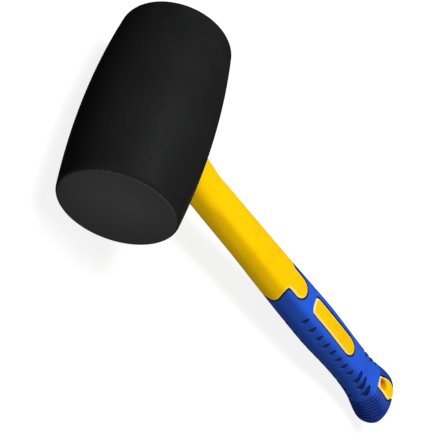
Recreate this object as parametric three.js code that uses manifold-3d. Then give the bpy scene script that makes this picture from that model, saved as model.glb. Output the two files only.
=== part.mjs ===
// Rubber mallet: black barrel head on a moulded two-colour handle with a glass-fibre core.
// Working frame of the pieces: X along the head, Y down the handle from the head's
// centre to the butt, Z through the two broad faces of the grip.  The finished group
// is laid on its side, barrel and butt touching z = 0, with the origin at the bottom
// centre of its bounding box.  Millimetres.

import * as THREE from 'three';
import { mergeVertices } from 'three/addons/utils/BufferGeometryUtils.js';
import Module from 'manifold-3d';

// ---------------------------------------------------------------- dimensions
const HEAD_LENGTH = 113.5;      // striking face to striking face
const HEAD_DIAMETER = 70;       // at the middle of the barrel
const FACE_DIAMETER = 62;       // where the barrel meets the corner radius
const FACE_RADIUS = 2.4;        // corner radius of the striking faces
const HEAD_SEGMENTS = 48;

const SECTION_POWER = 2.35;     // superellipse exponent of the handle's section
const HANDLE_SEGMENTS = 28;

// station along Y, half-width in X, half-thickness in Z, centre offset in X
const HANDLE = [
  [24, 13.2, 12.7, 0], [38, 12.3, 11.6, 0], [50, 11.8, 10.5, 0.05], [62, 11.75, 9.7, 0.1],
  [80, 12.15, 9.55, 0], [110, 12.95, 9.85, -0.05], [145, 14.25, 10.4, 0.15],
  [175, 15.5, 10.8, 0.1], [205, 16.3, 11.15, -0.15], [235, 15.3, 10.95, -0.45],
  [250, 14.87, 11, -0.37], [262, 15.12, 11.13, -0.16], [272, 15.72, 11.47, 0.11],
  [280, 16.35, 12.13, 0.51], [288, 17.54, 13.23, 1.34], [294, 18.73, 14.1, 2.14],
  [297, 19.2, 14.27, 2.39], [299, 19.22, 13.57, 2.45], [301, 18.5, 12.25, 2.84],
  [302.5, 17.15, 10.79, 3.71], [304, 14.59, 8.72, 5.51], [305, 11.66, 6.74, 7.65],
  [306, 6.19, 3.47, 11.77], [306.4, 1.6, 0.9, 15.5],
];
const SHOULDER = 26;            // where the neck seats in the head
const TENON_END = -20;          // blind end of the tenon inside the head
const TENON = [                 // two keying grooves in the tenon
  [-20, 9.4, 8.0, 0], [-17, 10.2, 8.8, 0], [-6, 10.4, 9.0, 0], [-4.5, 9.6, 8.2, 0],
  [-1.5, 9.6, 8.2, 0], [0, 10.5, 9.1, 0], [9, 10.7, 9.3, 0], [10.5, 9.8, 8.4, 0],
  [13.5, 9.8, 8.4, 0], [15, 10.8, 9.4, 0], [30, 10.9, 9.5, 0],
];
const BOND = 0.9;               // epoxy thickness round the tenon
const CLEARANCE = 0.3;          // gap kept between touching pieces

const CORE_RADIUS = 5.5;        // glass-fibre rod
const CORE_FROM = -14;
const CORE_TO = 268;

const GRIP_SKIN = 2.8;          // thickness of the soft grip over the jacket
const GRIP_START = 147;         // corners of the colour boundary
const LOBE = 3.3;               // jacket lobe on the two narrow faces
const TONGUE_HALF = 7.6;        // jacket tongue on the two broad faces
const TONGUE_END = 167.6;
const WINDOW = { from: 178.6, to: 239.2, half: 6.8, blunt: 4.2, taper: 9 };
const PAD = [                   // butt pad outline, Y and half-width in X
  [279.6, 3.0], [280.2, 4.3], [281.4, 5.1], [292.2, 7.9], [293.6, 8.0], [294.8, 7.2],
  [301.6, 1.2], [302.6, 0.0],
];
const HANG_HOLE = { y: 286.2, x: -0.3, length: 8.4, width: 6.8 };

const SLOT = { first: 178.6, pitch: 9.83, count: 8, radius: 1.35, length: 5.2, ratio: 0.83 };
const LARGE_SLOTS = [           // station, radius, half-length along the section
  { y: 257.0, r: 2.0, half: 4.6 }, { y: 265.1, r: 2.3, half: 4.7 }, { y: 273.3, r: 2.7, half: 4.6 },
];
const RIB = { first: 280.2, pitch: 2.4, count: 7, width: 1.1, depth: 0.7 };

const LIE_ANGLE = 4.01;         // degrees the handle falls from the barrel to the butt

// ---------------------------------------------------------------- solid helpers
const wasm = await Module();
wasm.setup();

function solid(geometry) {
  const g = geometry.clone();
  g.deleteAttribute('normal');
  g.deleteAttribute('uv');
  const m = mergeVertices(g, 1e-4);
  return new wasm.Manifold(new wasm.Mesh({
    numProp: 3,
    vertProperties: new Float32Array(m.attributes.position.array),
    triVerts: new Uint32Array(m.index.array),
  }));
}

function part(name, body, material) {
  const { vertProperties, triVerts, numProp } = body.simplify(0.06).getMesh();
  const positions = new Float32Array((vertProperties.length / numProp) * 3);
  for (let i = 0; i < positions.length / 3; i++) {
    for (let k = 0; k < 3; k++) positions[i * 3 + k] = vertProperties[i * numProp + k];
  }
  const g = new THREE.BufferGeometry();
  g.setAttribute('position', new THREE.BufferAttribute(positions, 3));
  g.setIndex(new THREE.BufferAttribute(new Uint32Array(triVerts), 1));
  g.computeVertexNormals();
  const mesh = new THREE.Mesh(g, material);
  mesh.name = name;
  return mesh;
}

// value of column k of a station table at y, on a Catmull-Rom curve through the table
function column(table, y, k) {
  let i = 0;
  while (i < table.length - 2 && y > table[i + 1][0]) i++;
  const p = table[Math.max(i - 1, 0)], a = table[i], b = table[i + 1], q = table[Math.min(i + 2, table.length - 1)];
  const h = b[0] - a[0];
  const slope = (u, v) => (v[0] === u[0] ? 0 : (v[k] - u[k]) / (v[0] - u[0]));
  const m0 = i === 0 ? slope(a, b) : slope(p, b), m1 = i === table.length - 2 ? slope(a, b) : slope(a, q);
  const t = Math.min(Math.max((y - a[0]) / h, 0), 1), t2 = t * t, t3 = t2 * t;
  return (2 * t3 - 3 * t2 + 1) * a[k] + (t3 - 2 * t2 + t) * h * m0
    + (3 * t2 - 2 * t3) * b[k] + (t3 - t2) * h * m1;
}
const section = (y) => [1, 2, 3].map((k) => column(HANDLE, y, k));

// closed loft through superellipse rings [y, a, b, c], made from an unrolled cylinder
function loft(rings, grow = 0, segments = HANDLE_SEGMENTS) {
  const g = new THREE.CylinderGeometry(1, 1, 1, segments, rings.length - 1);
  const pos = g.attributes.position, e = 2 / SECTION_POWER;
  for (let i = 0; i < pos.count; i++) {
    const x = pos.getX(i), z = pos.getZ(i), radial = Math.hypot(x, z);
    const ring = rings[Math.round((pos.getY(i) + 0.5) * (rings.length - 1))];
    const [y, a, b, c] = ring;
    if (radial < 0.5) { pos.setXYZ(i, c, y, 0); continue; }
    const t = Math.round(Math.atan2(z, x) * segments / (2 * Math.PI)) * 2 * Math.PI / segments;
    const cx = Math.cos(t), sz = Math.sin(t);
    const px = Math.abs(cx) < 1e-9 ? 0 : Math.sign(cx) * Math.abs(cx) ** e;
    const pz = Math.abs(sz) < 1e-9 ? 0 : Math.sign(sz) * Math.abs(sz) ** e;
    pos.setXYZ(i, c + (a + grow) * px, y, (b + grow) * pz);
  }
  return solid(g);
}

function handleRings(from, to, step, inset = 0) {
  const ys = new Set([from, to]);
  for (const row of HANDLE) if (row[0] > from && row[0] < to) ys.add(row[0]);
  const sorted = [...ys].sort((u, v) => u - v), out = [];
  for (let i = 0; i < sorted.length; i++) {
    out.push(sorted[i]);
    const next = sorted[i + 1];
    if (next && next - sorted[i] > step * 1.5) {
      const n = Math.round((next - sorted[i]) / step);
      for (let j = 1; j < n; j++) out.push(sorted[i] + (next - sorted[i]) * j / n);
    }
  }
  return out.map((y) => { const [a, b, c] = section(y); return [y, a - inset, b - inset, c]; });
}

// prism through the whole handle along Z, outline in X and Y
function prismZ(points) {
  const g = new THREE.ExtrudeGeometry(new THREE.Shape(points.map(([x, y]) => new THREE.Vector2(x, y))),
    { depth: 60, bevelEnabled: false, steps: 1 });
  g.translate(0, 0, -30);
  return solid(g);
}
// prism through the whole handle along X, outline in Z and Y
function prismX(points) {
  const g = new THREE.ExtrudeGeometry(new THREE.Shape(points.map(([z, y]) => new THREE.Vector2(z, y))),
    { depth: 80, bevelEnabled: false, steps: 1 });
  g.translate(0, 0, -40);
  g.rotateY(-Math.PI / 2);
  return solid(g);
}

// ---------------------------------------------------------------- outlines
const mirror = (half) => [...half.map(([y, x]) => [x, y]), ...half.slice().reverse().map(([y, x]) => [-x, y])];

function arc(y0, x0, ry, rx, from, to, n) {
  const out = [];
  for (let i = 0; i <= n; i++) {
    const t = (from + (to - from) * i / n) * Math.PI / 180;
    out.push([y0 + ry * Math.sin(t), x0 + rx * Math.cos(t)]);
  }
  return out;
}

// neck of the jacket with its tongue, grown outwards by g
function tongue(g) {
  const half = [[20, 30], [GRIP_START + g, 30], [GRIP_START + g, TONGUE_HALF + 2.6]];
  for (let i = 1; i <= 4; i++) {
    const t = i * Math.PI / 8;
    half.push([GRIP_START + g + (2.6 - g) * (1 - Math.cos(t)), TONGUE_HALF + g + (2.6 - g) * (1 - Math.sin(t))]);
  }
  half.push(...arc(TONGUE_END - 8.6, 0, 8.6 + g, TONGUE_HALF + g, 0, 90, 5).map(([y, x]) => [y, Math.max(x, 0)]));
  half.pop();
  return prismZ(mirror(half));
}
function lobes(g) {
  const pts = [[-30, 20], [30, 20], [30, GRIP_START + g]];
  for (let i = 0; i <= 8; i++) {
    const t = i / 8 * Math.PI;
    pts.push([9 * Math.cos(t), GRIP_START + g + LOBE * Math.sin(t)]);
  }
  pts.push([-30, GRIP_START + g]);
  return prismX(pts);
}
function windowPrism(g) {
  const half = [];
  const a = WINDOW.from + WINDOW.blunt, b = WINDOW.to - WINDOW.taper, w = WINDOW.half;
  for (let i = 0; i <= 4; i++) {
    const t = i / 4 * Math.PI / 2;
    half.push([a - (WINDOW.blunt + g) * Math.cos(t) ** 0.8, (w + g) * Math.sin(t) ** 0.8]);
  }
  for (let i = 0; i <= 5; i++) {
    const t = i / 5 * Math.PI / 2;
    half.push([b + (WINDOW.taper + g) * Math.sin(t), (w + g) * Math.max(Math.cos(t), 0) ** 0.9]);
  }
  half.shift(); half.pop();
  const tip0 = [a - WINDOW.blunt - g, 0], tip1 = [WINDOW.to + g, 0];
  return prismZ([[tip0[1], tip0[0]], ...half.map(([y, x]) => [x, y]), [tip1[1], tip1[0]],
    ...half.slice().reverse().map(([y, x]) => [-x, y])].reverse());
}
function padPrism(g) {
  const grown = PAD.map(([y, x], i) => {
    if (i === 0) return [y - g, x + g * 0.4];
    if (i === PAD.length - 1) return [y + g * 1.5, 0];
    return [y + (i < 3 ? -g * 0.5 : 0), x + g * 1.1];
  });
  const body = grown.slice(0, -1), tip = grown[grown.length - 1];
  return prismZ([...body.map(([y, x]) => [x, y]), [0, tip[0]], ...body.slice().reverse().map(([y, x]) => [-x, y])]);
}
function hangHole() {
  const s = new THREE.Shape();
  const r = HANG_HOLE.width / 2, d = (HANG_HOLE.length - HANG_HOLE.width) / 2, n = 12, pts = [];
  for (let i = 0; i < n; i++) {
    const t = (i + 0.5) / n * 2 * Math.PI;
    pts.push(new THREE.Vector2(HANG_HOLE.x + r * Math.cos(t), HANG_HOLE.y + (Math.sin(t) > 0 ? d : -d) + r * Math.sin(t)));
  }
  s.setFromPoints(pts);
  const g = new THREE.ExtrudeGeometry(s, { depth: 60, bevelEnabled: false, steps: 1 });
  g.translate(0, 0, -30);
  return solid(g);
}

// ---------------------------------------------------------------- rubber head
const profile = [new THREE.Vector2(0, -HEAD_LENGTH / 2)];
{
  const R = HEAD_DIAMETER / 2, r = FACE_DIAMETER / 2, L = HEAD_LENGTH / 2;
  const barrel = (x) => R - (R - r) * (Math.abs(x) / L) ** 2;
  const corner = (side) => {
    const out = [], x0 = L - FACE_RADIUS, y0 = barrel(x0) - FACE_RADIUS;
    for (let i = 0; i <= 3; i++) {
      const t = i * Math.PI / 6;
      out.push(new THREE.Vector2(y0 + FACE_RADIUS * Math.sin(t), side * (x0 + FACE_RADIUS * Math.cos(t))));
    }
    return out;
  };
  profile.push(...corner(-1));
  for (const f of [-0.78, -0.52, -0.26, 0, 0.26, 0.52, 0.78]) profile.push(new THREE.Vector2(barrel(f * L), f * L));
  profile.push(...corner(1).reverse());
  profile.push(new THREE.Vector2(0, L));
}
const barrelGeometry = new THREE.LatheGeometry(profile, HEAD_SEGMENTS);
barrelGeometry.rotateZ(-Math.PI / 2);            // lathe axis Y becomes X
barrelGeometry.rotateX(LIE_ANGLE * Math.PI / 180);   // keeps a row of vertices on the floor line

const tenonRings = TENON.map((r) => r.slice());
const bondRings = [[TENON_END - CLEARANCE - BOND, 10.2, 8.8, 0], [-17, 11.5, 10.1, 0], [SHOULDER - CLEARANCE, 12.1, 10.7, 0]];
const bondOuter = loft(bondRings, 0, 24);
const socketLower = loft([[TENON_END - 2 * CLEARANCE - BOND, 10.2, 8.8, 0], [-17, 11.5, 10.1, 0], [SHOULDER, 12.1, 10.7, 0]], CLEARANCE, 24);
const socketMouth = loft(handleRings(SHOULDER - CLEARANCE, 44, 9), CLEARANCE, HANDLE_SEGMENTS);
const rubberHead = solid(barrelGeometry).subtract(socketLower).subtract(socketMouth);

// ---------------------------------------------------------------- core rod
const rodGeometry = new THREE.CylinderGeometry(CORE_RADIUS, CORE_RADIUS, CORE_TO - CORE_FROM, 24, 1);
rodGeometry.translate(0, (CORE_TO + CORE_FROM) / 2, 0);
const rodBoreGeometry = new THREE.CylinderGeometry(CORE_RADIUS + CLEARANCE, CORE_RADIUS + CLEARANCE, CORE_TO + CLEARANCE - TENON_END + 10, 24, 1);
rodBoreGeometry.translate(0, (CORE_TO + CLEARANCE + TENON_END - 10) / 2, 0);

// ---------------------------------------------------------------- handle jacket
const outer = loft(handleRings(SHOULDER, 306.4, 15));
const tenon = loft(tenonRings, 0, 24);
const inner = (grow) => loft(handleRings(140 - grow, 296.5 + grow, 30, GRIP_SKIN), grow, 24);
const region = (g) => tongue(g).add(lobes(g)).add(windowPrism(g)).add(padPrism(g));
const hole = hangHole();
let jacket = outer.intersect(region(0)).add(inner(0)).add(tenon);
jacket = jacket.subtract(hole).subtract(solid(rodBoreGeometry));

// ---------------------------------------------------------------- epoxy bond
let bond = bondOuter.subtract(loft(tenonRings.map((r, i) => (i === 0 ? [r[0] - CLEARANCE, r[1], r[2], r[3]] : r)), CLEARANCE, 24));

// ---------------------------------------------------------------- soft grip
let grip = outer.intersect(prismZ([[-40, GRIP_START - 4], [40, GRIP_START - 4], [40, 320], [-40, 320]]));
grip = grip.subtract(region(CLEARANCE)).subtract(inner(CLEARANCE));

function capsule(y, radius, half, ratio, sx, sz, sink, lean) {
  const [a, b, c] = section(y);
  const u = ratio, v = (1 - u ** SECTION_POWER) ** (1 / SECTION_POWER);
  const nx = u ** (SECTION_POWER - 1) / a, nz = v ** (SECTION_POWER - 1) / b, n = Math.hypot(nx, nz);
  const normal = new THREE.Vector3(sx * nx / n, 0, sz * nz / n);
  const along = new THREE.Vector3(-sx * nz / n, lean, sz * nx / n).normalize();
  const g = new THREE.CapsuleGeometry(radius, Math.max(2 * (half - radius), 0.5), 1, 6);
  const q = new THREE.Quaternion().setFromUnitVectors(new THREE.Vector3(0, 1, 0), along);
  g.applyQuaternion(q);
  g.translate(c + sx * a * u - normal.x * sink, y, sz * b * v - normal.z * sink);
  return solid(g);
}
const cutters = [];
for (const sx of [1, -1]) {
  for (const sz of [1, -1]) {
    for (let i = 0; i < SLOT.count; i++) {
      cutters.push(capsule(SLOT.first + i * SLOT.pitch, SLOT.radius, SLOT.length / 2, SLOT.ratio, sx, sz, 0.1, -0.25));
    }
    for (const s of LARGE_SLOTS) cutters.push(capsule(s.y, s.r, s.half, 0.74, sx, sz, -0.4, -0.35));
  }
}
for (let i = 0; i < RIB.count; i++) {
  const y0 = RIB.first + i * RIB.pitch - RIB.width / 2, y1 = y0 + RIB.width;
  const at = (y, d) => { const [a, b, c] = section(y); return [y, a + d, b + d, c]; };
  const ring = loft([at(y0, 3), at(y1, 3)]).subtract(loft([at(y0 - 0.5, -RIB.depth), at(y1 + 0.5, -RIB.depth)]));
  cutters.push(ring);
}
for (const c of cutters) grip = grip.subtract(c);
grip = grip.subtract(hole);

// ---------------------------------------------------------------- assembly
const rubber = new THREE.MeshStandardMaterial({ color: 0x1d1e20, roughness: 0.62, metalness: 0 });
const yellow = new THREE.MeshStandardMaterial({ color: 0xf5c30a, roughness: 0.36, metalness: 0 });
const blue = new THREE.MeshStandardMaterial({ color: 0x1c49c4, roughness: 0.52, metalness: 0 });
const glassFibre = new THREE.MeshStandardMaterial({ color: 0xd8c89a, roughness: 0.4, metalness: 0 });
const epoxy = new THREE.MeshStandardMaterial({ color: 0xb49a5c, roughness: 0.3, metalness: 0 });

const mallet = new THREE.Group();
const lying = new THREE.Group();
lying.add(part('rubber_head', rubberHead, rubber));
lying.add(part('handle_jacket', jacket, yellow));
lying.add(part('grip_sleeve', grip, blue));
lying.add(part('fiberglass_core', solid(rodGeometry), glassFibre));
lying.add(part('epoxy_bond', bond, epoxy));
lying.rotation.x = -LIE_ANGLE * Math.PI / 180;
mallet.add(lying);
mallet.updateMatrixWorld(true);
const box = new THREE.Box3().setFromObject(mallet, true);
lying.position.set(-(box.min.x + box.max.x) / 2, -(box.min.y + box.max.y) / 2, -box.min.z);
mallet.updateMatrixWorld(true);

export default mallet;
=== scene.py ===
import bpy, math
import numpy as np
from mathutils import Matrix, Vector


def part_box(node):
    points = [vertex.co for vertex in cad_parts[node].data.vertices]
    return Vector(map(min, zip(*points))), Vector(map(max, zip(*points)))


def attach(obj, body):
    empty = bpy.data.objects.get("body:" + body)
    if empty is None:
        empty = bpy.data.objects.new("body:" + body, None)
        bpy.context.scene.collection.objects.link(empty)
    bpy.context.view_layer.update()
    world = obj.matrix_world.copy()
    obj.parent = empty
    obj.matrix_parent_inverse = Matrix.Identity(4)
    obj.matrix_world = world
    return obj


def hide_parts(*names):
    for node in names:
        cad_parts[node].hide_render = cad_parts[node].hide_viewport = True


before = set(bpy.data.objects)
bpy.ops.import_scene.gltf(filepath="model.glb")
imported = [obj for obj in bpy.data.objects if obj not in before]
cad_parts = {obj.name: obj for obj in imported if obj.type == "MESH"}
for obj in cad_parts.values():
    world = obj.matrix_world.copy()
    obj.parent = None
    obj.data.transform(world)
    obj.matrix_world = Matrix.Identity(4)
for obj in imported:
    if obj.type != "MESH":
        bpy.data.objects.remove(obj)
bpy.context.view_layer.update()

# ------------------------------------------------------------------ frame
# Pieces are worked out in millimetres in the mallet's own axes: X along the head,
# Y down the handle from the head's centre, Z through the broad faces of the grip.
LIE = math.radians(4.01)
HEAD_R, HEAD_HALF, FACE_R, FACE_ROUND = 35.0, 56.75, 31.0, 2.4
_lo, _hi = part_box("rubber_head")
HEAD_Y = _lo[1] * 1000 + HEAD_R
HEAD_Z = _hi[2] * 1000 - HEAD_R
ROT = np.array([[1, 0, 0],
                [0, math.cos(LIE), math.sin(LIE)],
                [0, -math.sin(LIE), math.cos(LIE)]])


def to_row(p):
    """Mallet axes in millimetres to the row frame in metres."""
    q = np.asarray(p, float) @ ROT.T
    return (q + np.array([0.0, HEAD_Y, HEAD_Z])) / 1000.0


# ------------------------------------------------------------------ handle form
POW = 2.35
HANDLE = np.array([
    [24, 13.2, 12.7, 0], [38, 12.3, 11.6, 0], [50, 11.8, 10.46, 0.05], [55, 11.74, 9.93, 0.07],
    [58, 11.72, 9.68, 0.08], [62, 11.75, 9.6, 0.1],
    [80, 12.15, 9.55, 0], [110, 12.95, 9.85, -0.05], [145, 14.25, 10.4, 0.15],
    [175, 15.5, 10.8, 0.1], [205, 16.3, 11.15, -0.15], [235, 15.3, 10.95, -0.45],
    [250, 14.87, 11, -0.37], [262, 15.12, 11.13, -0.16], [272, 15.72, 11.47, 0.11],
    [280, 16.5, 12.13, 0.36], [288, 17.84, 13.23, 1.04], [294, 19.0, 14.1, 1.87],
    [297, 19.33, 14.27, 2.26], [299, 19.22, 13.57, 2.45], [301, 18.5, 12.25, 2.84],
    [302.5, 17.15, 10.79, 3.71], [304, 14.59, 8.72, 5.51], [305, 11.66, 6.74, 7.65],
    [306, 6.19, 3.47, 11.77], [306.4, 1.6, 0.9, 15.5]])
TENON = np.array([
    [-20, 9.4, 8.0, 0], [-17, 10.2, 8.8, 0], [-6, 10.4, 9.0, 0], [-4.5, 9.6, 8.2, 0],
    [-1.5, 9.6, 8.2, 0], [0, 10.5, 9.1, 0], [9, 10.7, 9.3, 0], [10.5, 9.8, 8.4, 0],
    [13.5, 9.8, 8.4, 0], [15, 10.8, 9.4, 0], [30, 10.9, 9.5, 0]])
BOND = np.array([[-21.2, 10.2, 8.8, 0], [-17, 11.5, 10.1, 0], [25.7, 12.1, 10.7, 0]])
SHOULDER, GRIP_SKIN = 26.0, 2.8
CORE_R, CORE_FROM, CORE_TO = 5.5, -14.0, 268.0
GRIP_START, LOBE, TONGUE_HALF, TONGUE_END = 147.0, 3.3, 7.35, 167.6
WIN_FROM, WIN_TO, WIN_HALF, WIN_BLUNT, WIN_TAPER = 178.9, 239.2, 6.5, 4.2, 9.0
HOLE_Y, HOLE_X, HOLE_LEN, HOLE_WID = 286.2, -0.3, 8.4, 6.8
GROOVE = 0.8                                        # open line between jacket and grip


def table(tab, y):
    """Catmull-Rom values and slopes of a station table, for an array of stations."""
    s = tab[:, 0]
    v = tab[:, 1:]
    m = np.empty_like(v)
    m[0] = (v[1] - v[0]) / (s[1] - s[0])
    m[-1] = (v[-1] - v[-2]) / (s[-1] - s[-2])
    m[1:-1] = (v[2:] - v[:-2]) / (s[2:] - s[:-2])[:, None]
    y = np.asarray(y, float)
    yc = np.clip(y, s[0], s[-1])
    i = np.clip(np.searchsorted(s, yc, side="right") - 1, 0, len(s) - 2)
    h = (s[i + 1] - s[i])
    t = (yc - s[i]) / h
    t2, t3 = t * t, t * t * t
    out = []
    for k in range(3):
        a, b, ma, mb = v[i, k], v[i + 1, k], m[i, k] * h, m[i + 1, k] * h
        val = (2 * t3 - 3 * t2 + 1) * a + (t3 - 2 * t2 + t) * ma + (3 * t2 - 2 * t3) * b + (t3 - t2) * mb
        slo = ((6 * t2 - 6 * t) * a + (3 * t2 - 4 * t + 1) * ma + (6 * t - 6 * t2) * b + (3 * t2 - 2 * t) * mb) / h
        out.append((val, slo))
    return out


def ease(v, a, b):
    t = np.clip((np.asarray(v, float) - a) / (b - a), 0, 1)
    return t * t * (3 - 2 * t)


def flanked(u, v, kap=0.55, k=0.38, c=0.25, p=14.0, scale=0.990):
    """A section with a gently crowned broad face, a firm corner and a plain flank."""
    f1 = np.sqrt(v * v + kap * u * u)
    q = np.sqrt(v * v + c * c)
    f2 = u + k * (q - c)
    top = np.maximum(f1, f2)
    a, b = f1 / top, f2 / top
    r = (a ** p + b ** p) ** (1 / p)
    wa, wb = (a / r) ** (p - 1), (b / r) ** (p - 1)
    return scale * top * r, scale * (wa * kap * u / f1 + wb), scale * (wa * v / f1 + wb * k * v / q)


def loft_field(x, y, z, tab=HANDLE, inset=0.0):
    """Signed distance, good near the surface, to a loft of superellipse sections."""
    (A, dA), (B, dB), (C, dC) = table(tab, y)
    if tab is HANDLE:                                   # the upper side of the butt is a little fuller
        B = B + 0.8 * ease(y, 274, 288) * (1 - ease(y, 298, 304)) * ease(z, 0, 4)
    A = np.maximum(A - inset, 0.05)
    B = np.maximum(B - inset, 0.05)
    w = (x - C) / A
    u = np.abs(w) + 1e-6
    v = np.abs(z) / B + 1e-6
    up, vp = u ** (POW - 1), v ** (POW - 1)
    g = u * up + v * vp
    G = g ** (1 / POW)
    k = G / g
    gu, gv = up * k, vp * k
    if tab is HANDLE:
        m = ease(y, 56, 76) * (1 - ease(y, 286, 298))   # along the grip the flanks are flatter
        H, hu, hv = flanked(u, v)
        G, gu, gv = G + m * (H - G), gu + m * (hu - gu), gv + m * (hv - gv)
    gx = gu / A
    gz = gv / B
    gy = -(u * gu * dA / A + v * gv * dB / B) - np.sign(w) * gu * dC / A
    d = (G - 1) / np.sqrt(gx * gx + gz * gz + gy * gy + 1e-12)
    return np.maximum(d, np.maximum(y - tab[-1, 0], tab[0, 0] - y))


# ------------------------------------------------------------------ outlines
def polygon_field(poly, xs, ys):
    """Signed distance from the grid (xs, ys) to a closed polygon of (x, y)."""
    gx, gy = np.meshgrid(xs, ys, indexing="ij")
    best = np.full(gx.shape, 1e9)
    inside = np.zeros(gx.shape, bool)
    n = len(poly)
    for i in range(n):
        x0, y0 = poly[i]
        x1, y1 = poly[(i + 1) % n]
        ex, ey = x1 - x0, y1 - y0
        t = np.clip(((gx - x0) * ex + (gy - y0) * ey) / (ex * ex + ey * ey + 1e-12), 0, 1)
        best = np.minimum(best, (gx - x0 - t * ex) ** 2 + (gy - y0 - t * ey) ** 2)
        crosses = ((y0 > gy) != (y1 > gy)) & (gx < (x1 - x0) * (gy - y0) / (y1 - y0 + 1e-12) + x0)
        inside ^= crosses
    return np.where(inside, -1, 1) * np.sqrt(best)


def mirrored(half):
    return [(x, y) for y, x in half] + [(-x, y) for y, x in reversed(half)]


def round_corners(poly, r, n=6):
    """Rounds each corner of a polygon of (x, y) with radius about r."""
    out, m = [], len(poly)
    for i in range(m):
        p, q, s = (np.array(poly[j % m], float) for j in (i - 1, i, i + 1))
        a, b = p - q, s - q
        la, lb = np.linalg.norm(a), np.linalg.norm(b)
        k = min(r, la * 0.45, lb * 0.45)
        a, b = q + a / la * k, q + b / lb * k
        for j in range(n + 1):
            t = j / n
            out.append(tuple((1 - t) ** 2 * a + 2 * t * (1 - t) * q + t * t * b))
    return out


def skewed(poly, k, start):
    """Leans an outline: points past start move along the handle by k per mm across it."""
    return [(x, y + k * x * min(max((y - start) / 5.0, 0), 1)) for x, y in poly]


def tongue_outline():
    r = 3.2
    half = [(90, 30), (GRIP_START, 30), (GRIP_START, TONGUE_HALF + r)]
    for i in range(1, 11):
        t = i / 10 * math.pi / 2
        half.append((GRIP_START + r * (1 - math.cos(t)), TONGUE_HALF + r * (1 - math.sin(t))))
    for i in range(33):
        t = i / 32 * math.pi / 2
        half.append((TONGUE_END - 8.6 + 8.6 * math.sin(t), TONGUE_HALF * math.cos(t)))
    half[-1] = (TONGUE_END, 0.0)
    return skewed(mirrored(half), -0.11, 152.0)


def window_outline():
    half = []
    a, b = WIN_FROM + WIN_BLUNT, WIN_TO - WIN_TAPER
    for i in range(25):
        t = i / 24 * math.pi / 2
        half.append((a - WIN_BLUNT * math.cos(t) ** 0.8, (WIN_HALF - 0.35) * math.sin(t) ** 0.8))
    for i in range(33):
        t = i / 32 * math.pi / 2
        half.append((b + WIN_TAPER * math.sin(t), WIN_HALF * max(math.cos(t), 0.0) ** 0.9))
    return skewed(mirrored(half), -0.12, 150.0)


def pad_outline():
    poly = [(3.6, 279.6), (4.9, 280.9), (6.05, 286.2), (8.1, 293.6), (1.4, 300.8), (-0.9, 301.0),
            (-6.3, 293.2), (-5.7, 287.0), (-4.5, 281.9), (-3.5, 280.4)]
    return round_corners(poly, 1.3)


MAP_X = np.arange(-21.0, 21.01, 0.15)
MAP_Y = np.arange(130.0, 310.01, 0.15)
_fields = [polygon_field(o(), MAP_X, MAP_Y) for o in (tongue_outline, window_outline, pad_outline)]
REGION_MAP = np.minimum(np.minimum(_fields[0], _fields[1]), _fields[2])
PAD_MAP = _fields[2]


def bilinear(grid, x, y):
    fx = np.clip((x - MAP_X[0]) / 0.15, 0, len(MAP_X) - 1.001)
    fy = np.clip((y - MAP_Y[0]) / 0.15, 0, len(MAP_Y) - 1.001)
    fx, fy = np.broadcast_arrays(fx, fy)
    i, j = fx.astype(int), fy.astype(int)
    a, b = fx - i, fy - j
    return (grid[i, j] * (1 - a) * (1 - b) + grid[i + 1, j] * a * (1 - b)
            + grid[i, j + 1] * (1 - a) * b + grid[i + 1, j + 1] * a * b)


def region(x, y, z):
    """Signed distance to the border of the jacket's visible areas, negative inside."""
    on_map = bilinear(REGION_MAP, x, y)
    zc = np.clip(z / 9.0, -1, 1)
    edge = GRIP_START + LOBE * np.cos(zc * math.pi / 2) ** 2
    slope = LOBE * math.pi / 18 * np.sin(zc * math.pi)
    lobe = (y - edge) / np.sqrt(1 + slope ** 2)
    return np.minimum(on_map, lobe)


# ------------------------------------------------------------------ field tools
def r_and(a, b, r):
    """Intersection with a rounded edge of radius r."""
    u, v = np.maximum(a + r, 0), np.maximum(b + r, 0)
    return np.minimum(-r, np.maximum(a, b)) + np.sqrt(u * u + v * v)


def r_or(a, b, r):
    return -r_and(-a, -b, r)


def r_cut(a, b, r):
    return r_and(a, -b, r)


def hole_field(x, y):
    d = (HOLE_LEN - HOLE_WID) / 2
    return np.sqrt((x - HOLE_X) ** 2 + np.maximum(np.abs(y - HOLE_Y) - d, 0) ** 2) - HOLE_WID / 2


def inner_field(x, y, z):
    return np.maximum(loft_field(x, y, z, inset=GRIP_SKIN), np.maximum(y - 296.5, 140.0 - y))


# ------------------------------------------------------------------ the pieces as fields
def jacket_field(x, y, z):
    outer = loft_field(x, y, z)
    body = r_and(outer, region(x, y, z), 0.85)
    body = r_and(body, SHOULDER - y, 0.8)
    hole = hole_field(x, y)
    body = np.minimum(body, inner_field(x, y, z))
    ten = loft_field(x, y, z, TENON)
    body = r_or(body, ten, 0.6)
    body = r_cut(body, hole, 2.3)
    bore = np.maximum(np.sqrt(x * x + z * z) - CORE_R - 0.3, y - CORE_TO - 0.3)
    return np.maximum(body, -bore)


# arc length from the middle of a broad face, by station and section angle
ARC_Y = np.arange(168.0, 284.1, 2.0)
ARC_ANGLE = np.radians(np.arange(0.0, 90.1, 1.5))


def _arc_table():
    out = np.empty((len(ARC_Y), len(ARC_ANGLE)))
    fine = np.linspace(0, math.pi / 2, 721)
    c, s_ = np.cos(fine), np.sin(fine)
    k = (c ** POW + s_ ** POW) ** (-1 / POW)
    (A, _), (B, _), _c = table(HANDLE, ARC_Y)
    for i in range(len(ARC_Y)):
        px, pz = A[i] * c * k, B[i] * s_ * k
        run = np.concatenate([[0], np.cumsum(np.hypot(np.diff(px), np.diff(pz)))])
        out[i] = np.interp(ARC_ANGLE, fine, run[-1] - run)
    return out


ARC = _arc_table()


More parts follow.
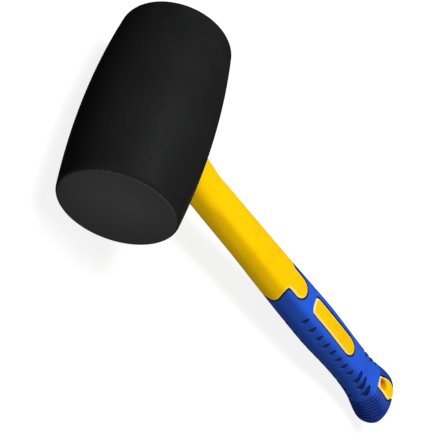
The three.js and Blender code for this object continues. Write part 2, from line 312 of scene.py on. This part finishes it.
def arc_from_middle(x, y, z):
    (A, _), (B, _), (C, _) = table(HANDLE, y)
    angle = np.arctan2(np.abs(z) / B, np.abs(x - C) / A)
    fi = np.clip((y - ARC_Y[0]) / 2.0, 0, len(ARC_Y) - 1.001)
    fj = np.clip(angle / math.radians(1.5), 0, len(ARC_ANGLE) - 1.001)
    fi, fj = np.broadcast_arrays(fi, fj)
    i, j = fi.astype(int), fj.astype(int)
    a, b = fi - i, fj - j
    return ARC[i, j] * (1 - a) * (1 - b) + ARC[i + 1, j] * a * (1 - b) + ARC[i, j + 1] * (1 - a) * b + ARC[i + 1, j + 1] * a * b


# finger slots: lobes of (station, arc, half width, half length, lean), shallow and deep depth
SMALL_ARC = [14.0, 14.3, 14.5, 14.4, 14.2, 14.0, 13.7, 13.5]
SLOTS = [([(178.6 + 10.243 * i - 0.0714 * i * i, SMALL_ARC[i] - 0.6, 1.3, 2.1, -0.1),
           (178.6 + 10.243 * i - 0.0714 * i * i, SMALL_ARC[i] + 1.2, 1.75, 2.0, -0.1)], 1.1, 1.6) for i in range(8)]
SLOTS += [([(256.1, 9.4, 2.35, 3.2, 0.06), (256.9, 12.2, 2.0, 2.4, 0.1), (257.6, 14.6, 2.2, 2.2, 0.0)], 1.4, 1.7),
          ([(263.4, 9.4, 2.15, 2.9, 0.1), (264.4, 12.2, 2.15, 2.4, 0.15), (265.4, 14.9, 2.6, 2.7, 0.05)], 1.4, 1.7),
          ([(271.3, 11.2, 2.0, 2.7, 0.2), (272.3, 13.4, 2.25, 2.2, 0.2), (273.3, 15.6, 2.4, 3.1, 0.05)], 1.4, 1.7)]
FAR_SHIFT = 2.2


def lobe_distance(u, v, a, b):
    k1 = np.sqrt((u / a) ** 2 + (v / b) ** 2) + 1e-9
    k2 = np.sqrt((u / a ** 2) ** 2 + (v / b ** 2) ** 2) + 1e-9
    return k1 * (k1 - 1) / k2


def slots_field(x, y, z, outer):
    """Signed distance to the finger slots, which lie on the four corners of the grip."""
    t = arc_from_middle(x, y, z)
    shift = np.where(x < 0, FAR_SHIFT, 0.0) * (y > 250)
    best = np.full(np.broadcast(x, y, z).shape, 5.0)
    for lobes, shallow, deep in SLOTS:
        d = None
        for s, m, a, b, lean in lobes:
            e = lobe_distance(y - shift - s - lean * (t - m), t - m, a, b)
            d = e if d is None else r_or(d, e, 0.8)
        lo = min(m - b for _, m, _, b, _ in lobes)
        hi = max(m + b for _, m, _, b, _ in lobes)
        f = np.clip((t - lo) / (hi - lo), 0, 1)
        depth = shallow + (deep - shallow) * f
        best = np.minimum(best, r_and(d + np.maximum(-outer, 0) * 0.1, -depth - outer, 0.35))
    return best


RIB_FIRST, RIB_PITCH, RIB_COUNT, RIB_DEPTH = 280.2, 2.4, 7, 1.0


def ribs(y):
    """How far the surface drops at a station, for the ring grooves of the butt."""
    k = np.clip(np.round((y - RIB_FIRST) / RIB_PITCH), 0, RIB_COUNT - 1)
    d = np.abs(y - RIB_FIRST - k * RIB_PITCH) / 0.88
    return RIB_DEPTH * np.clip(1 - d * d, 0, 1) ** 0.7


def grip_field(x, y, z):
    outer = loft_field(x, y, z)
    reg = region(x, y, z)
    pad = bilinear(PAD_MAP, x, y)
    rim = np.clip((pad - 0.9) / 0.6, 0, 1)          # a plain rim is kept round the butt pad
    rim = np.where(np.abs(z) > 6.0, rim, 1.0)
    skin = outer + ribs(y) * rim
    body = r_and(skin, GROOVE - reg, 0.45)
    body = r_cut(body, slots_field(x, y, z, outer), 0.3)
    body = np.maximum(body, 0.3 - inner_field(x, y, z))
    body = np.maximum(body, 143.5 - y)
    body = np.maximum(body, y - 306.25)
    return np.maximum(body, -hole_field(x, y))


def neck_field(x, y, z):
    return np.maximum(loft_field(x, y, z), SHOULDER - 0.3 - y)


def head_field(x, y, z):
    ax = np.abs(x)
    r = np.sqrt(y * y + z * z)
    drop = HEAD_R - FACE_R
    side = (r - HEAD_R + drop * (ax / HEAD_HALF) ** 2) / np.sqrt(1 + (2 * drop * ax / HEAD_HALF ** 2) ** 2)
    body = r_and(side, ax - HEAD_HALF, FACE_ROUND)
    body = r_cut(body, neck_field(x, y, z) - 0.22, 0.9)
    low = np.maximum(loft_field(x, y, z, BOND) , -y - 21.2)
    return np.maximum(body, -(low - 0.3))


def bond_field(x, y, z):
    ten = loft_field(x, y, z, TENON)
    return r_and(loft_field(x, y, z, BOND), 0.3 - ten, 0.1)


def core_field(x, y, z):
    return r_and(np.sqrt(x * x + z * z) - CORE_R, np.abs(y - (CORE_TO + CORE_FROM) / 2) - (CORE_TO - CORE_FROM) / 2, 0.7)


# ------------------------------------------------------------------ meshing
def surface_net(X, Y, Z, F):
    """Closed quad mesh of F = 0 on a rectilinear grid."""
    S = F < 0
    count = np.zeros(tuple(n - 1 for n in F.shape), np.int8)
    for a in (0, 1):
        for b in (0, 1):
            for c in (0, 1):
                count += S[a:F.shape[0] - 1 + a, b:F.shape[1] - 1 + b, c:F.shape[2] - 1 + c]
    active = (count > 0) & (count < 8)
    index = np.full(active.shape, -1, np.int64)
    n = int(active.sum())
    index[active] = np.arange(n)
    axes = (X, Y, Z)
    acc, num, quads = np.zeros((n, 3)), np.zeros(n), []
    for ax in range(3):
        lo = [slice(None)] * 3
        hi = [slice(None)] * 3
        lo[ax], hi[ax] = slice(0, -1), slice(1, None)
        a, b = F[tuple(lo)], F[tuple(hi)]
        I = np.argwhere((a < 0) != (b < 0))
        fa, fb = a[tuple(I.T)], b[tuple(I.T)]
        t = fa / (fa - fb)
        P = np.stack([axes[k][I[:, k]] for k in range(3)], 1)
        P[:, ax] += t * (axes[ax][I[:, ax] + 1] - axes[ax][I[:, ax]])
        u, v = (ax + 1) % 3, (ax + 2) % 3
        around = []
        for du, dv in ((-1, -1), (0, -1), (0, 0), (-1, 0)):
            J = I.copy()
            J[:, u] += du
            J[:, v] += dv
            J = np.clip(J, 0, np.array(active.shape) - 1)
            c = index[tuple(J.T)]
            around.append(c)
            for k in range(3):
                acc[:, k] += np.bincount(c, P[:, k], n)
            num += np.bincount(c, minlength=n)
        q = np.stack(around, 1)
        flip = fa > 0
        q[flip] = q[flip][:, ::-1]
        quads.append(q)
    return acc / num[:, None], np.concatenate(quads)


def settle(field, P, rounds=3, limit=0.25):
    """Moves points onto the field's zero surface."""
    e = 0.02
    for _ in range(rounds):
        x, y, z = P[:, 0], P[:, 1], P[:, 2]
        f = field(x, y, z)
        g = np.stack([field(x + e, y, z) - field(x - e, y, z), field(x, y + e, z) - field(x, y - e, z),
                      field(x, y, z + e) - field(x, y, z - e)], 1) / (2 * e)
        step = (f / np.maximum((g * g).sum(1), 0.15))[:, None] * g
        length = np.linalg.norm(step, axis=1, keepdims=True)
        P = P - step * np.minimum(1, limit / np.maximum(length, 1e-9))
    return P


def steps(*spans):
    """Grid stations: (from, to, spacing) spans joined end to end."""
    out = []
    for a, b, s in spans:
        n = max(int(round((b - a) / s)), 1)
        out.append(np.linspace(a, b, n + 1)[:-1])
    return np.concatenate(out + [[spans[-1][1]]])


def mesh_piece(name, field, X, Y, Z, attributes=None, rounds=3):
    F = np.empty((len(X), len(Y), len(Z)))
    for i in range(0, len(Y), 64):                  # in slabs, to keep the arrays small
        F[:, i:i + 64] = field(X[:, None, None], Y[None, i:i + 64, None], Z[None, None, :])
    P, Q = surface_net(X, Y, Z, F)
    P = settle(field, P, rounds)
    me = bpy.data.meshes.new(name)
    W = to_row(P)
    me.vertices.add(len(W))
    me.vertices.foreach_set("co", W.astype(np.float32).ravel())
    me.loops.add(Q.size)
    me.loops.foreach_set("vertex_index", Q.astype(np.int32).ravel())
    me.polygons.add(len(Q))
    me.polygons.foreach_set("loop_start", np.arange(0, Q.size, 4, dtype=np.int32))
    me.update(calc_edges=True)
    me.validate()
    me.polygons.foreach_set("use_smooth", np.ones(len(me.polygons), bool))
    if attributes:
        for key, values in attributes(P[:, 0], P[:, 1], P[:, 2]).items():
            at = me.attributes.new(key, "FLOAT", "POINT")
            at.data.foreach_set("value", np.asarray(values, np.float32))
    ob = bpy.data.objects.new(name, me)
    bpy.context.scene.collection.objects.link(ob)
    print("piece", name, len(me.vertices), "vertices", len(me.polygons), "faces")
    return ob


COARSE = 1.0
h = 0.56 * COARSE


def jacket_marks(x, y, z):
    outer, reg = loft_field(x, y, z), region(x, y, z)
    # edge: painted highlight, a pale cream band along the border of the yellow areas
    edge = np.exp(-((reg + 0.35) / 0.62) ** 2) * (outer > -1.2) * (y > 120)
    hole = hole_field(x, y)
    # painted shade and inter-reflection: the hang hole's walls turn deeper orange with depth
    painted_hole_shade = np.clip(-outer / 3.0, 0, 1) * (hole < 0.8)
    # painted shade: the bottom of the groove between jacket and grip is near black
    painted_gap_shade = np.clip((-outer - 0.7) / 0.6, 0, 1) * (hole > 0.8) * (y > 136)
    return {"edge": edge, "painted_hole_shade": painted_hole_shade, "painted_gap_shade": painted_gap_shade}


def grip_marks(x, y, z):
    outer, reg = loft_field(x, y, z), region(x, y, z)
    in_slot = slots_field(x, y, z, outer) < 0.12
    # painted shade: the finger slots darken to near-black navy with depth
    painted_slot_shade = np.clip((-outer - 0.1) / 0.7, 0, 1) * in_slot
    # ring: painted shade, the butt's ring grooves darken with depth
    ring = np.clip((-outer - 0.1) / 0.8, 0, 1) * ~in_slot * (y > 278)
    # painted shade: near black along the groove between grip and jacket
    painted_seam_shade = np.exp(-np.maximum(reg - GROOVE - 0.1, 0) ** 2 / 0.3 ** 2)
    # butt: painted shade, the ribbed zone and the butt end are a deeper blue
    butt = ease(y, 279, 285) * 0.55 + ease(y, 292, 298) * 0.45
    (A, _), (B, _), (C, _) = table(HANDLE, y)
    # flank: painted shade, the grip's flanks are a deeper blue than its broad faces
    lean = np.degrees(np.arctan2(np.abs(x - C) / A, np.abs(z) / B))
    flank = ease(lean, 26, 52)
    return {"painted_slot_shade": painted_slot_shade, "ring": ring, "painted_seam_shade": painted_seam_shade, "butt": butt, "flank": flank}


def head_marks(x, y, z):
    ax, r = np.abs(x), np.sqrt(y * y + z * z)
    rim = np.exp(-(((ax - 55.9) / 2.2) ** 2 + ((r - 30.2) / 2.4) ** 2))
    # face: the striking faces are painted lighter, partly as scuffing and partly as painted reflection, brightest a
    # little above their middle
    face = (ax > HEAD_HALF - 0.6) * (0.45 + 0.55 * np.exp(-((y + 6) ** 2 + (z - 7) ** 2) / 900.0))
    return {"rim": rim, "face": face}


hj, hg = h * 1.07, h * 1.10
jacket = mesh_piece("handle_jacket_body", jacket_field, steps((-19.5, 19.5, hj)),
                    steps((-22, 30, 1.0 * COARSE), (30, 134, 1.5 * COARSE), (134, 170, hj * 0.85), (170, 176, hj * 1.5),
                          (176, 184, hj * 0.8), (184, 228, hj * 1.5), (228, 242, hj * 0.8), (242, 277, hj * 1.9), (277, 304.5, hj * 0.75)),
                    steps((-15.5, 16.2, hj)), jacket_marks)
grip = mesh_piece("grip_sleeve_body", grip_field, steps((-21.5, 26.5, hg)),
                  steps((142.5, 253, hg), (253, 277, hg * 0.9), (277, 297.5, hg * 0.62), (297.5, 308, hg * 0.7)),
                  steps((-15.9, 16.6, hg)), grip_marks)
head = mesh_piece("rubber_head_body", head_field, steps((-58.5, -52, 0.55 * COARSE), (-52, -16, 1.1 * COARSE), (-16, 16, 0.6 * COARSE),
                                                      (16, 52, 1.1 * COARSE), (52, 58.5, 0.55 * COARSE)),
                  steps((-37, 26, 1.0 * COARSE), (26, 37, 0.6 * COARSE)), steps((-37, -14.5, 1.0 * COARSE), (-14.5, 14.5, 0.6 * COARSE), (14.5, 37, 1.0 * COARSE)),
                  head_marks)
bond = mesh_piece("epoxy_bond_layer", bond_field, steps((-13.5, 13.5, 0.5)), steps((-23, 27, 0.6)), steps((-12.2, 12.2, 0.5)))
core = mesh_piece("fiberglass_core_rod", core_field, steps((-6.6, 6.6, 0.6)), steps((-15.5, -12, 0.5), (-12, 266, 6.0), (266, 269.5, 0.5)), steps((-6.6, 6.6, 0.6)))


# ------------------------------------------------------------------ materials
class Nodes:
    def __init__(self, name):
        self.m = bpy.data.materials.new(name)
        self.m.use_nodes = True
        self.t = self.m.node_tree
        self.t.nodes.clear()
        self.out = self.t.nodes.new("ShaderNodeOutputMaterial")
        self.b = self.t.nodes.new("ShaderNodeBsdfPrincipled")
        self.link(self.b.outputs[0], self.out.inputs[0])
        self.pos = self.t.nodes.new("ShaderNodeTexCoord").outputs["Object"]

    def link(self, a, b):
        self.t.links.new(a, b)

    def new(self, kind, **props):
        n = self.t.nodes.new(kind)
        for k, v in props.items():
            setattr(n, k, v)
        return n

    def noise(self, scale, detail=4, rough=0.55, stretch=None):
        n = self.new("ShaderNodeTexNoise")
        n.inputs["Scale"].default_value = scale
        n.inputs["Detail"].default_value = detail
        n.inputs["Roughness"].default_value = rough
        src = self.pos
        if stretch:
            mp = self.new("ShaderNodeMapping")
            mp.inputs["Scale"].default_value = stretch
            self.link(self.pos, mp.inputs["Vector"])
            src = mp.outputs[0]
        self.link(src, n.inputs["Vector"])
        return n.outputs["Fac"]

    def voronoi(self, scale, feature="F1"):
        n = self.new("ShaderNodeTexVoronoi", feature=feature)
        n.inputs["Scale"].default_value = scale
        self.link(self.pos, n.inputs["Vector"])
        return n.outputs["Distance"]

    def span(self, v, a, b, c=0.0, d=1.0):
        n = self.new("ShaderNodeMapRange")
        for k, x in zip(("From Min", "From Max", "To Min", "To Max"), (a, b, c, d)):
            n.inputs[k].default_value = x
        self.link(v, n.inputs["Value"])
        return n.outputs["Result"]

    def math(self, op, a, b=None):
        n = self.new("ShaderNodeMath", operation=op)
        for i, v in enumerate((a, b)):
            if v is None:
                continue
            if isinstance(v, (int, float)):
                n.inputs[i].default_value = v
            else:
                self.link(v, n.inputs[i])
        return n.outputs[0]

    def mix(self, fac, a, b):
        n = self.new("ShaderNodeMix", data_type="RGBA")
        for sock, v in ((n.inputs[0], fac), (n.inputs[6], a), (n.inputs[7], b)):
            if isinstance(v, (tuple, list)):
                sock.default_value = (*v, 1.0)
            elif isinstance(v, (int, float)):
                sock.default_value = v
            else:
                self.link(v, sock)
        return n.outputs[2]

    def attr(self, name):
        return self.new("ShaderNodeAttribute", attribute_name=name).outputs["Fac"]

    def bump(self, height, strength, distance, under=None):
        n = self.new("ShaderNodeBump")
        n.inputs["Strength"].default_value = strength
        n.inputs["Distance"].default_value = distance
        self.link(height, n.inputs["Height"])
        if under is not None:
            self.link(under, n.inputs["Normal"])
        return n.outputs[0]

    def set(self, **kw):
        for k, v in kw.items():
            sock = self.b.inputs[k.replace("_", " ")]
            if isinstance(v, (int, float)):
                sock.default_value = v
            else:
                self.link(v, sock)


def rubber_material():
    n = Nodes("black_rubber")
    cloud = n.noise(22, 5, 0.6)
    fine = n.noise(420, 3, 0.6)
    dust = n.span(n.noise(95, 6, 0.7), 0.56, 0.78)
    base = n.mix(n.span(cloud, 0.3, 0.7), (0.0088, 0.0089, 0.0092), (0.0124, 0.0125, 0.0129))
    base = n.mix(n.math("MULTIPLY", dust, 0.10), base, (0.035, 0.035, 0.036))
    scuff = n.math("MULTIPLY", n.attr("rim"), n.span(n.noise(60, 3, 0.6), 0.2, 0.8, 0.55, 1.0))
    base = n.mix(n.math("MULTIPLY", scuff, 0.35), base, (0.022, 0.022, 0.0225))
    # painted reflection on top of scuffing: the end faces are lighter, most of all a little above their middle
    base = n.mix(n.math("MULTIPLY", n.attr("face"), n.span(n.noise(45, 4, 0.6), 0.25, 0.75, 0.86, 1.0)), base, (0.066, 0.066, 0.067))
    n.set(Base_Color=base)
    rough = n.span(fine, 0.3, 0.7, 0.5, 0.62)
    rough = n.math("ADD", rough, n.math("MULTIPLY", n.math("SUBTRACT", cloud, 0.5), 0.22))
    rough = n.math("ADD", rough, n.math("MULTIPLY", scuff, 0.15))
    n.set(Roughness=rough, Specular_IOR_Level=0.035)
    a = n.bump(n.noise(1500, 2, 0.5), 0.22, 0.00012)
    b = n.bump(n.noise(70, 3, 0.5), 0.10, 0.0004, a)
    n.set(Normal=b)
    return n.m


def yellow_material():
    n = Nodes("yellow_plastic")
    cloud = n.noise(30, 4, 0.55)
    base = n.mix(n.span(cloud, 0.3, 0.7), (0.90, 0.52, 0.0006), (0.97, 0.58, 0.0012))
    # painted highlight: pale cream along the borders of the yellow areas
    base = n.mix(n.math("MULTIPLY", n.attr("edge"), 0.75), base, (0.98, 0.88, 0.50))
    # painted shade and inter-reflection: deeper orange down the hang hole
    base = n.mix(n.math("MULTIPLY", n.attr("painted_hole_shade"), 0.6), base, (1.0, 0.46, 0.001))
    # painted shade: near black at the bottom of the groove between jacket and grip
    base = n.mix(n.math("MULTIPLY", n.attr("painted_gap_shade"), 0.95), base, (0.012, 0.012, 0.02))
    speck = n.span(n.voronoi(260), 0.06, 0.02)
    base = n.mix(n.math("MULTIPLY", speck, 0.12), base, (0.45, 0.30, 0.03))
    n.set(Base_Color=base)
    n.set(Roughness=n.math("ADD", n.span(n.noise(240, 3, 0.6), 0.3, 0.7, 0.33, 0.43), n.math("MULTIPLY", n.math("SUBTRACT", cloud, 0.5), 0.1)), Specular_IOR_Level=0.06)
    a = n.bump(n.noise(1100, 2, 0.5), 0.12, 0.0001)
    b = n.bump(n.noise(55, 2, 0.5), 0.10, 0.0004, a)
    n.set(Normal=b)
    n.b.inputs["Subsurface Weight"].default_value = 0.28
    n.b.inputs["Subsurface Radius"].default_value = (0.004, 0.0025, 0.0005)
    n.b.inputs["Subsurface Scale"].default_value = 1.0
    return n.m


def blue_material():
    n = Nodes("blue_soft_grip")
    cloud = n.noise(34, 5, 0.6)
    base = n.mix(n.span(cloud, 0.3, 0.7), (0.011, 0.084, 0.60), (0.017, 0.106, 0.71))
    lint = n.span(n.noise(150, 6, 0.72), 0.6, 0.78)
    base = n.mix(n.math("MULTIPLY", lint, 0.10), base, (0.20, 0.28, 0.7))
    # painted shade: deeper blue on the grip's flanks
    base = n.mix(n.math("MULTIPLY", n.attr("flank"), 0.78), base, (0.007, 0.045, 0.28))
    # painted shade: deeper blue over the ribbed zone and the butt end
    base = n.mix(n.math("MULTIPLY", n.attr("butt"), 0.8), base, (0.004, 0.015, 0.20))
    # painted shade: near-black navy down in the finger slots
    base = n.mix(n.math("MULTIPLY", n.attr("painted_slot_shade"), 0.92), base, (0.0004, 0.006, 0.10))
    # painted shade: dark navy down in the ring grooves
    base = n.mix(n.math("MULTIPLY", n.attr("ring"), 0.85), base, (0.0008, 0.005, 0.06))
    # painted shade: near black in the groove between grip and jacket
    base = n.mix(n.math("MULTIPLY", n.attr("painted_seam_shade"), 0.95), base, (0.002, 0.004, 0.020))
    n.set(Base_Color=base)
    n.set(Roughness=n.math("ADD", n.span(n.noise(300, 3, 0.6), 0.3, 0.7, 0.42, 0.54), n.math("MULTIPLY", n.math("SUBTRACT", cloud, 0.5), 0.14)), Specular_IOR_Level=0.13)
    a = n.bump(n.noise(1300, 2, 0.5), 0.3, 0.00012)
    b = n.bump(n.voronoi(900), 0.15, 0.00012, a)
    n.set(Normal=b)
    n.b.inputs["Sheen Weight"].default_value = 0.13
    n.b.inputs["Sheen Roughness"].default_value = 0.5
    n.b.inputs["Sheen Tint"].default_value = (0.5, 0.65, 1.0, 1.0)
    return n.m


def fibre_material():
    n = Nodes("glass_fibre_rod")
    strands = n.noise(900, 3, 0.6, (1.0, 0.02, 1.0))
    base = n.mix(n.span(strands, 0.3, 0.7), (0.52, 0.43, 0.24), (0.82, 0.75, 0.52))
    n.set(Base_Color=base, Roughness=n.span(strands, 0.3, 0.7, 0.28, 0.5))
    n.set(Normal=n.bump(strands, 0.4, 0.0002))
    return n.m


def epoxy_material():
    n = Nodes("amber_epoxy")
    cloud = n.noise(120, 4, 0.6)
    base = n.mix(n.span(cloud, 0.3, 0.7), (0.42, 0.27, 0.08), (0.58, 0.40, 0.15))
    n.set(Base_Color=base, Roughness=n.span(n.noise(500, 3), 0.3, 0.7, 0.2, 0.4))
    n.set(Normal=n.bump(n.noise(260, 3), 0.3, 0.0003))
    return n.m


PIECES = [(head, "rubber_head", "head_rubber", rubber_material()), (jacket, "handle_jacket", "yellow_plastic", yellow_material()),
          (grip, "grip_sleeve", "blue_soft_grip", blue_material()), (core, "fiberglass_core", "glass_fibre", fibre_material()),
          (bond, "epoxy_bond", "epoxy", epoxy_material())]
for ob, node, slot, mat in PIECES:
    ob.data.materials.append(mat)
    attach(ob, "root")
    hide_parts(node)

# ------------------------------------------------------------------ floor, light, camera
WORLD, KEY, FILL, FLOOR_GLOW = 0.06, 19.8, 7.8, 0.86
floor_mesh = bpy.data.meshes.new("studio_floor")
s = 6.0
floor_mesh.from_pydata([(-s, -s, 0), (s, -s, 0), (s, s, 0), (-s, s, 0)], [], [(0, 1, 2, 3)])
floor = bpy.data.objects.new("studio_floor", floor_mesh)
bpy.context.scene.collection.objects.link(floor)
fm = Nodes("pale_floor")
fm.set(Base_Color=fm.mix(fm.span(fm.noise(3, 2), 0.3, 0.7), (0.20, 0.20, 0.202), (0.21, 0.21, 0.212)), Roughness=fm.span(fm.noise(40), 0, 1, 0.75, 0.85))
fm.b.inputs["Specular IOR Level"].default_value = 0.1
fm.b.inputs["Emission Color"].default_value = (1.0, 1.0, 1.0, 1.0)
fm.b.inputs["Emission Strength"].default_value = FLOOR_GLOW
floor.data.materials.append(fm.m)
floor.visible_diffuse = False
floor.visible_glossy = False

world = bpy.data.worlds.new("studio")
world.use_nodes = True
world.node_tree.nodes["Background"].inputs[0].default_value = (1.0, 1.0, 1.0, 1.0)
world.node_tree.nodes["Background"].inputs[1].default_value = WORLD
bpy.context.scene.world = world


def area(name, at, target, size, power, color=(1, 1, 1)):
    data = bpy.data.lights.new(name, "AREA")
    data.shape = "RECTANGLE"
    data.size, data.size_y = size
    data.energy = power
    data.color = color
    ob = bpy.data.objects.new(name, data)
    ob.location = at
    ob.rotation_euler = (Vector(target) - Vector(at)).to_track_quat("-Z", "Y").to_euler()
    bpy.context.scene.collection.objects.link(ob)
    return ob


area("overhead_softbox", (-0.27, -0.40, 1.22), (0, 0.0, 0.02), (0.6, 0.6), KEY)
area("side_fill", (1.33, -0.1, 0.24), (0, 0, 0.02), (0.8, 0.5), FILL)

cam_data = bpy.data.cameras.new("camera")
cam_data.sensor_width = 36.0
cam_data.lens = 36.0 * 1002.1 / 448.0
cam_data.clip_start, cam_data.clip_end = 0.01, 50
cam = bpy.data.objects.new("camera", cam_data)
at = to_row([312.99, -287.59, 296.33])
right = ROT @ np.array([-0.2285, 0.4855, 0.8438])
fwd = ROT @ np.array([-0.5435, 0.6555, -0.5243])
fwd /= np.linalg.norm(fwd)
right -= fwd * (right @ fwd)
right /= np.linalg.norm(right)
up = np.cross(right, fwd)
M = Matrix.Identity(4)
for i in range(3):
    M[i][0], M[i][1], M[i][2], M[i][3] = right[i], up[i], -fwd[i], at[i]
cam.matrix_world = M
bpy.context.scene.collection.objects.link(cam)
bpy.context.scene.camera = cam

vs = bpy.context.scene.view_settings
vs.view_transform = "Standard"
vs.look = "None"
vs.exposure = 0.0
vs.gamma = 1.0
